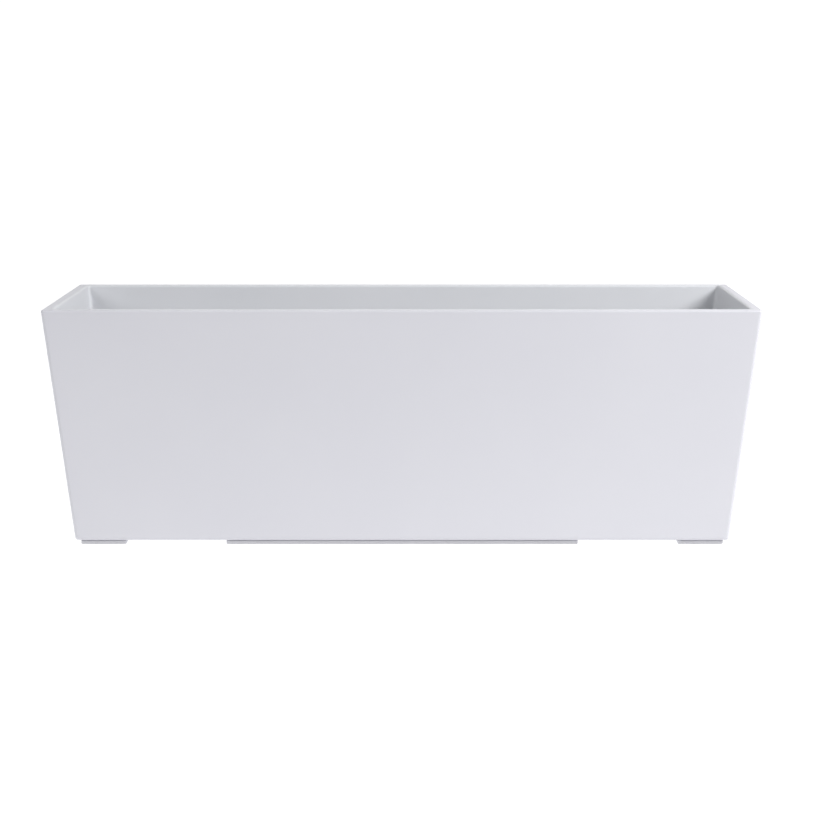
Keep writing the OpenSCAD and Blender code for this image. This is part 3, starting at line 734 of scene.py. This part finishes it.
stave_tree, sizes = new_tree("staves_and_hoops", Count="Int", Foot_Radius="Float",
    Throat_Radius="Float", Foot_Height="Float", Throat_Height="Float", Stave_Width="Float",
    Wall="Float", Hoop_Height="Float")
foot_end = add_node(stave_tree, "ShaderNodeCombineXYZ",
    {"X": sizes["Foot Radius"], "Z": sizes["Foot Height"]})
throat_end = add_node(stave_tree, "ShaderNodeCombineXYZ",
    {"X": sizes["Throat Radius"], "Z": sizes["Throat Height"]})
stave_line = add_node(stave_tree, "GeometryNodeCurvePrimitiveLine",
    {"Start": foot_end, "End": throat_end})
stave_section = add_node(stave_tree, "GeometryNodeCurvePrimitiveQuadrilateral",
    {"Width": sizes["Wall"], "Height": sizes["Stave Width"]})
eased = add_node(stave_tree, "GeometryNodeFilletCurve",
    {"Curve": stave_section, "Count": 3, "Radius": 0.0004}, mode="POLY")
stave = add_node(stave_tree, "GeometryNodeCurveToMesh",
    {"Curve": stave_line, "Profile Curve": eased, "Fill Caps": True})
staves = stand_in_a_ring(stave_tree, sizes["Count"], stave)
hoop_share = add_node(stave_tree, "ShaderNodeMapRange",
    {"Value": sizes["Hoop Height"], "From Min": sizes["Foot Height"],
    "From Max": sizes["Throat Height"], "To Min": sizes["Foot Radius"],
    "To Max": sizes["Throat Radius"]})
hoop_path = add_node(stave_tree, "GeometryNodeCurvePrimitiveCircle",
    {"Resolution": 60, "Radius": hoop_share})
hoop_section = add_node(stave_tree, "GeometryNodeCurvePrimitiveQuadrilateral",
    {"Width": sizes["Wall"], "Height": 0.0026})
hoop_ring = add_node(stave_tree, "GeometryNodeCurveToMesh",
    {"Curve": hoop_path, "Profile Curve": hoop_section})
hoop_up = add_node(stave_tree, "ShaderNodeCombineXYZ", {"Z": sizes["Hoop Height"]})
hoop_placed = add_node(stave_tree, "GeometryNodeTransform",
    {"Geometry": hoop_ring, "Translation": hoop_up})
cage = join(stave_tree, staves, hoop_placed)
close_tree(stave_tree, cage, sizes["Finish"])


def hoop(shape, corners, edge, centre, steps=60, change=None):
    """A turned ring with its corners taken off."""
    turn(shape, rounded(corners, edge, closed=True), centre, steps, closed=True, change=change)


def basket_radius(z):
    """Outside radius of a basket's sides at a height."""
    return foot_radius + (throat_radius - foot_radius) * (z - basket_low[2]) / (
        liner_low - basket_low[2])


cage_mesh = grow(stave_tree, {"Count": 20, "Foot Radius": basket_radius(slot_low) - basket_wall / 2,
    "Throat Radius": basket_radius(slot_high) - basket_wall / 2, "Foot Height": slot_low - 0.001,
    "Throat Height": slot_high + 0.001, "Stave Width": 0.0046, "Wall": basket_wall * 0.92,
    "Hoop Height": (slot_low + slot_high) / 2, "Finish": basket_plastic})
for number, (node, at) in enumerate(zip(baskets, basket_at), 1):
    basket = bmesh.new()
    add_mesh(basket, cage_mesh, (at[0], at[1], 0))
    hoop(basket, [(basket_radius(slot_high) - basket_wall, slot_high),
        (basket_radius(slot_high), slot_high), (throat_radius, liner_low),
        (throat_radius, liner_floor + seat_gap), (collar, liner_floor + seat_gap),
        (collar, basket_high[2]), (throat_radius - basket_wall, basket_high[2]),
        (throat_radius - basket_wall, liner_low)], 0.0006, at)
    under, bed = basket_low[2], basket_low[2] + basket_wall
    hoop(basket, [(basket_radius(slot_low), slot_low),
        (basket_radius(slot_low) - basket_wall, slot_low), (foot_radius - basket_wall, bed),
        (foot_radius - basket_wall - 0.0015, bed), (foot_radius - basket_wall - 0.0015, under),
        (foot_radius, under)], 0.0006, at)
    rim = circle(at, foot_radius - basket_wall - 0.001, 60)
    holes = [(x, y, 0.003) for x, y in circle(at, 0.012, 5)]
    holes += [(x, y, 0.0014) for x, y in circle(at, 0.0045, 3)]
    plate(basket, rim, holes, "Z", under + seat_gap, bed - seat_gap, 0.0002)
    make_piece("wick_basket_%d_cage" % number, basket, basket_plastic, "basket_%d" % number,
        "basket_plastic", node)

# ---------------------------------------------------------------------------------------------
# The fill tube is a grey moulded pipe in the back right corner, with a widened mouth, a collar
# that sits on the liner's floor, and a notched foot that lets the water out. Its hinged lid has
# a plug underneath, a dished top and a finger tab with three ribs.
# ---------------------------------------------------------------------------------------------
fitting_plastic = moulded_plastic("moulded_abs_light_grey", "#babcc1", "#b2b4ba", 0.38, grain_mm=0.9,
    grain_depth_mm=0.010, cloud_mm=45)
hinge_x, _, hinge_z = joints["lid_flip"]["pos_m"]
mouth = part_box("fill_lid")[1][2] - 0.003
tube_foot = casing_floor + 0.004
knuckle, pin_bore, knuckle_half, hinge_gap, hinge_ear = 0.0035, 0.00155, 0.004, 0.0003, 0.004
fill_bore, mouth_radius, mouth_bore = 0.015, 0.021, 0.019


def notched(angle, r, z):
    """Lifts the foot of a tube in four places, so that water passes under it."""
    turned = math.degrees(angle) % 90
    return z + 0.005 if z < tube_foot + 0.002 and 38 < turned < 52 else z


tube = bmesh.new()
hoop(tube, [(fill_radius, tube_foot), (fill_radius, mouth - 0.018), (mouth_radius, mouth - 0.010),
    (mouth_radius, mouth), (mouth_bore, mouth), (fill_bore, mouth - 0.010), (fill_bore, tube_foot)],
    0.0007, fill_at, 72, notched)
hoop(tube, [(0.0165, liner_floor + seat_gap), (0.020, liner_floor + seat_gap),
    (0.020, liner_floor + 0.003), (0.0165, liner_floor + 0.003)], 0.0008, fill_at)
for height in (mouth - 0.0075, mouth - 0.0045):
    hoop(tube, [(0.0205, height - 0.0006), (0.02145, height), (0.0205, height + 0.0006)], 0.0004,
        fill_at)
for side in (-1, 1):
    knuckle_arc = arc((hinge_x, hinge_z), knuckle, -40, 180, 22)
    outline = knuckle_arc + [(hinge_x - knuckle, mouth - 0.0004),
        (fill_at[0] + 0.0195, mouth - 0.0004), (fill_at[0] + 0.0195, mouth - 0.004),
        (hinge_x + 0.001, mouth - 0.004)]
    near = knuckle_half + hinge_gap
    ends = sorted(fill_at[1] + side * far for far in (near, near + hinge_ear))
    plate(tube, outline, [(hinge_x, hinge_z, pin_bore)], "Y", *ends, 0.0003)
make_piece("fill_pipe", tube, fitting_plastic, "liner", "fitting_plastic", "fill_tube")

lid = bmesh.new()
turn(lid, rounded([(0, mouth + seat_gap), (0.012, mouth + seat_gap), (0.012, mouth - 0.003),
    (0.014, mouth - 0.003), (0.014, mouth + seat_gap), (mouth_radius, mouth + seat_gap),
    (mouth_radius, mouth + 0.003), (0.0185, mouth + 0.003), (0.0175, mouth + 0.0022),
    (0, mouth + 0.0022)], 0.0006), fill_at, 64)
bar(lid, (fill_at[0] - 0.028, fill_at[1] - 0.007, mouth + 0.0003),
    (fill_at[0] - 0.0185, fill_at[1] + 0.007, mouth + 0.0025), 0.0008, 3)
for rib_x in (-0.0265, -0.0245, -0.0225):
    bar(lid, (fill_at[0] + rib_x - 0.0005, fill_at[1] - 0.0055, mouth + 0.002),
        (fill_at[0] + rib_x + 0.0005, fill_at[1] + 0.0055, mouth + 0.003), 0.0002)
bar(lid, (fill_at[0] + 0.0165, fill_at[1] - knuckle_half, mouth + 0.0004),
    (hinge_x - 0.0018, fill_at[1] + knuckle_half, mouth + 0.0028), 0.0004)
barrel = circle((hinge_x, hinge_z), knuckle, 32)
plate(lid, barrel, [(hinge_x, hinge_z, pin_bore)], "Y", fill_at[1] - knuckle_half,
    fill_at[1] + knuckle_half, 0.0003)
make_piece("tube_lid", lid, basket_plastic, "lid", "basket_plastic", "fill_lid")

# The lid turns on a bright drawn steel wire pin.
pin_steel, wire, place = new_material("drawn_stainless_wire")
surface(wire, {"Base Color": linear("#c9cacb"), "Metallic": 1.0,
    "Roughness": between(wire, cloudy(wire, place, 1500.0, 2.0), 0.22, 0.36)})
dress("lid_hinge_pin", pin_steel)

# ---------------------------------------------------------------------------------------------
# The level gauge stands in the back left corner: a slotted tube closed by an end plug, with a
# foam float inside that carries a red marker on a thin stem up through a guide. The marker shows
# in a clear domed cap, between two raised rings for the lowest and the highest water.
# ---------------------------------------------------------------------------------------------
dress("gauge_tube", fitting_plastic)
dress("gauge_end_plug", basket_plastic)
dress("stem_guide", basket_plastic)
stem_plastic = moulded_plastic("drawn_acetal_white", "#e9e9e4", "#e4e4de", 0.3, grain_mm=0.8,
    grain_depth_mm=0.004, cloud_mm=12)
dress("float_stem", stem_plastic)

marker_plastic = moulded_plastic("gloss_abs_signal_red", "#c3271c", "#b82117", 0.2, grain_mm=1.0,
    grain_depth_mm=0.003, cloud_mm=10, spread=0.03)
marker_low, marker_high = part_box("gauge_marker")
marker = bmesh.new()
turn(marker, rounded([(0.00155, marker_low[2]), (0.005, marker_low[2]),
    (0.005, marker_high[2] - 0.0025), (0.0025, marker_high[2]), (0, marker_high[2]),
    (0, marker_low[2] + 0.004), (0.00155, marker_low[2] + 0.004)], 0.0007, closed=True), gauge_at, 40)
make_piece("level_marker", marker, marker_plastic, "float", "marker_plastic", "gauge_marker")

float_foam = moulded_plastic("closed_cell_foam_white", "#efefea", "#e6e6e0", 0.85, grain_mm=2.2,
    grain_depth_mm=0.12, cloud_mm=8)
foam = bmesh.new()
turn(foam, rounded([(0.00155, gauge_low[2] + 0.010), (0.00155, gauge_high[2]),
    (0.0105, gauge_high[2]), (0.0105, gauge_low[2]), (0, gauge_low[2]), (0, gauge_low[2] + 0.010)],
    0.0015, closed=True), gauge_at, 48)
make_piece("foam_float", foam, float_foam, "float", "float_foam", "gauge_float")

clear_plastic, clear, place = new_material("clear_polycarbonate")
surface(clear, {"Base Color": linear("#f3f7f8"), "IOR": 1.58, "Transmission Weight": 1.0,
    "Roughness": between(clear, cloudy(clear, place, 250.0, 4.0), 0.03, 0.12)})
cap_low, cap_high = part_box("sight_cap")
cap_radius, cap_wall, spigot = 0.011, 0.0015, 0.0114
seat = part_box("gauge_tube")[1][2]
dome_at = cap_high[2] - cap_radius
outer = [(spigot, cap_low[2]), (spigot, seat + seat_gap), (0.013, seat + seat_gap),
    (0.013, seat + 0.002), (cap_radius, seat + 0.002)]
for mark in (marker_high[2], dome_at - 0.001):
    outer += [(cap_radius, mark - 0.0006), (cap_radius + 0.0006, mark - 0.0004),
        (cap_radius + 0.0006, mark + 0.0004), (cap_radius, mark + 0.0006)]
dome = arc((0, dome_at), cap_radius, 0, 90, 10)
hollow_dome = arc((0, dome_at), cap_radius - cap_wall, 90, 0, 10)
cap = bmesh.new()
turn(cap, rounded(outer, 0.0004)[:-1] + dome[:-1] + [(0, cap_high[2])] + [(0, cap_high[2] - cap_wall)]
    + hollow_dome[1:] + [(cap_radius - cap_wall, cap_low[2])], gauge_at, 56)
make_piece("clear_cap", cap, clear_plastic, "cap", "clear_plastic", "sight_cap")

# ---------------------------------------------------------------------------------------------
# Two bail handles hang against the liner's end walls and swing up to lift it out. Each is one
# smooth moulding: flat arms that run into a round grip with finger hollows under it, and a pin
# on each arm that snaps into its ear.
# ---------------------------------------------------------------------------------------------
handle_plastic = moulded_plastic("smooth_polypropylene_handle", "#cfcfd4", "#cacad0", 0.4,
    grain_mm=1.1, grain_depth_mm=0.006, cloud_mm=60)
arm_half, arm_thick, grip_half, bend = 0.004, 0.005, 0.006, 0.010
arm_y = handle_high[1] - 0.0094
handle_reach = (pivot_z - handle_low[2] - grip_half) / math.cos(wall_slope)
for side, word in ((-1, "left"), (1, "right")):
    down = Vector((-side * math.sin(wall_slope), 0, -math.cos(wall_slope)))
    outward = Vector((side * math.cos(wall_slope), 0, -math.sin(wall_slope)))
    across = Vector((0, 1, 0))
    pivot = Vector((side * pivot_x, 0, pivot_z))
    path = [(-arm_y, handle_reach * t) for t in (0, 0.06, 0.3, 0.55, 0.78)]
    path += arc((-arm_y + bend, handle_reach - bend), bend, 180, 90, 8)
    span = 2 * (arm_y - bend)
    path += [(-arm_y + bend + span * t / 36, handle_reach) for t in range(1, 36)]
    path += [(-u, v) for u, v in reversed(path[:14])]
    handle = bmesh.new()
    rings = []
    for k, (u, v) in enumerate(path):
        before, after = path[max(k - 1, 0)], path[min(k + 1, len(path) - 1)]
        along = (across * (after[0] - before[0]) + down * (after[1] - before[1])).normalized()
        side_way = outward.cross(along)
        grown = min(max((v - 0.72 * handle_reach) / (0.24 * handle_reach), 0), 1)
        grown = grown * grown * (3 - 2 * grown)
        hollow = 0.0005 * (0.5 + 0.5 * math.cos(8 * math.pi * u / span)) * (abs(u) < span / 2)
        half_a = arm_half + (grip_half - arm_half) * grown - hollow
        half_b = arm_thick + (grip_half - arm_thick) * grown
        power = 0.45 + 0.55 * grown
        centre = pivot + across * u + down * v
        ring = []
        for step in range(28):
            c, s = math.cos(2 * math.pi * step / 28), math.sin(2 * math.pi * step / 28)
            ring.append(centre + side_way * half_a * math.copysign(abs(c) ** power, c)
                + outward * half_b * math.copysign(abs(s) ** power, s))
        rings.append(ring)
    start_end, far_end = loft(handle, rings)
    handle.faces.new(list(reversed(start_end)))
    handle.faces.new(far_end)
    for way in (-1, 1):
        hub = circle((side * pivot_x, pivot_z), arm_thick, 32)
        plate(handle, hub, [], "Y", *sorted((way * (arm_y - arm_half), way * (arm_y + arm_half))),
            0.0006)
        pin = rounded([(0, way * (arm_y + arm_half - 0.0004)),
            (0.003, way * (arm_y + arm_half - 0.0004)), (0.003, way * handle_high[1]),
            (0, way * handle_high[1])], 0.0005)
        turn(handle, pin, (side * pivot_x, pivot_z), 32, along="Y")
    make_piece("%s_bail" % word, handle, handle_plastic, "handle_%s" % word, "handle_plastic",
        "%s_handle" % word)

# ---------------------------------------------------------------------------------------------
# The floor is a wide pale sheet of frosted acrylic that curves up behind the trough. It is a
# light table: tubes under its middle three metres make it glow white behind and round the trough.
# ---------------------------------------------------------------------------------------------
sheet_glow = 0.945
frosted_acrylic, frosted, place = new_material("frosted_acrylic_light_table")
on_sheet = add_node(frosted, "ShaderNodeSeparateXYZ", {0: place}).outputs
behind = add_node(frosted, "ShaderNodeMapRange",
    {"Value": on_sheet["Y"], "From Min": -1.35, "From Max": -1.0, "To Max": sheet_glow})
off_middle = maths(frosted, "ABSOLUTE", on_sheet["X"])
beside = add_node(frosted, "ShaderNodeMapRange",
    {"Value": off_middle, "From Min": 1.75, "From Max": 1.45})
lit = maths(frosted, "MULTIPLY", behind, beside)
surface(frosted, {"Base Color": linear("#8c8c8d"), "Specular IOR Level": 0.1,
    "Emission Color": (1, 1, 1, 1), "Emission Strength": lit,
    "Roughness": between(frosted, cloudy(frosted, place, 3.0, 2.0), 0.86, 0.94)})

sheet = bmesh.new()
sweep = [(-6.0, ground), (2.6, ground)]
sweep += [(2.6 + 1.4 * math.sin(a), ground + 1.4 * (1 - math.cos(a))) for a in quarter_turn(12)[1:]]
sweep += [(4.0, 6.0)]
rows = [[sheet.verts.new((x, y, z)) for x in (-7, 7)] for y, z in sweep]
for near, far in zip(rows, rows[1:]):
    sheet.faces.new((near[0], near[1], far[1], far[0]))
backdrop_mesh = mesh_of("backdrop", sheet)
backdrop_mesh.shade_smooth()
backdrop_mesh.materials.append(frosted_acrylic)
backdrop = put_in("backdrop", backdrop_mesh)

# ---------------------------------------------------------------------------------------------
# Four soft boxes light the trough: a near and a far one high on the right in front, one high on
# the left, and a faint one hung above. The room adds almost nothing.
# ---------------------------------------------------------------------------------------------
def soft_box(name, end_of_trough, towards, away, size, power):
    """A square soft box, so far from an end of the trough, turned to face its middle."""
    box = bpy.data.lights.new(name, "AREA")
    box.shape = "SQUARE"
    box.size = size
    box.energy = power
    light = put_in(name, box)
    light.location = Vector(end_of_trough) + Vector(towards).normalized() * away
    light.rotation_euler = (Vector((0, 0, 0.15)) - light.location).to_track_quat("-Z", "Y").to_euler()


right_end, left_end = (0.36, 0.11, 0.26), (-0.36, 0.11, 0.26)
soft_box("near_right_soft_box", right_end, (1.7, -1.4, 1.48), 1.8, 0.8, 28)
soft_box("far_right_soft_box", right_end, (1.7, -1.1, 1.48), 3.0, 1.2, 38)
soft_box("left_soft_box", left_end, (-1.7, -1.2, 1.36), 3.0, 1.5, 43)
soft_box("top_soft_box", (0, 0, 0.15), (0, -0.15, 1), 3.0, 1.6, 11)
room = bpy.data.worlds.new("room")
room.use_nodes = True
room.node_tree.nodes["Background"].inputs["Color"].default_value = (1, 1, 1, 1)
room.node_tree.nodes["Background"].inputs["Strength"].default_value = 0.04
bpy.context.scene.world = room
bpy.context.scene.view_settings.view_transform = "Standard"
